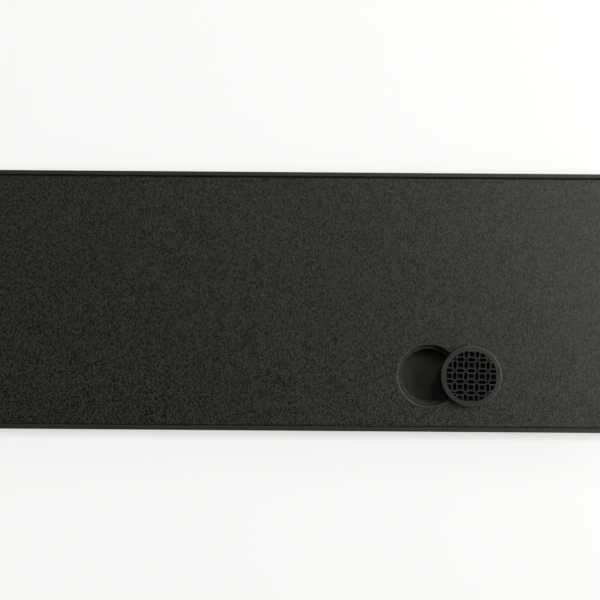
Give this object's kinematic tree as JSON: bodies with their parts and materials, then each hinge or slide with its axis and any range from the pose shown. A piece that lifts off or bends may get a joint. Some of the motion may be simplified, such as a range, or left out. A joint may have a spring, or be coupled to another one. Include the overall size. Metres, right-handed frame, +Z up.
{
  "type": "gongfu tea tray",
  "caption": "Long black phenolic tea tray with a low rim, a grained field, a round drain well with a loose coin-lattice cover, and a hose outlet between rubber feet.",
  "frame": {"origin": "middle of the footprint, on the surface that the feet stand on", "axes": "+X along the board to the end that is nearer to the drain well, +Y to the back edge, +Z up"},
  "size_m": [0.8, 0.3, 0.0492],
  "materials": {
    "phenolic_board": "satin black, field with a fine leather grain, rim smooth",
    "phenolic_cover": "satin black, milled",
    "nylon": "moulded black, satin",
    "steel": "bright",
    "silicone": "soft translucent white",
    "rubber": "moulded matt black"
  },
  "bodies": {
    "tray": {"tray_board": "phenolic_board", "drain_tail": "nylon", "flange_gasket": "silicone", "clamp_washer": "steel", "lock_nut": "nylon", "elbow_seal": "silicone", "outlet_elbow": "nylon", "foot_front_left": "rubber", "foot_front_middle": "rubber", "foot_front_right": "rubber", "foot_back_left": "rubber", "foot_back_middle": "rubber", "foot_back_right": "rubber", "foot_washers": "steel", "foot_screws": "steel"},
    "cover": {"drain_cover": "phenolic_cover"}
  },
  "joints": [
    {"name": "cover_lift", "type": "slide", "parent": "tray", "child": "cover", "axis": [0, 0, 1], "range_m": [0, 0.08]}
  ]
}
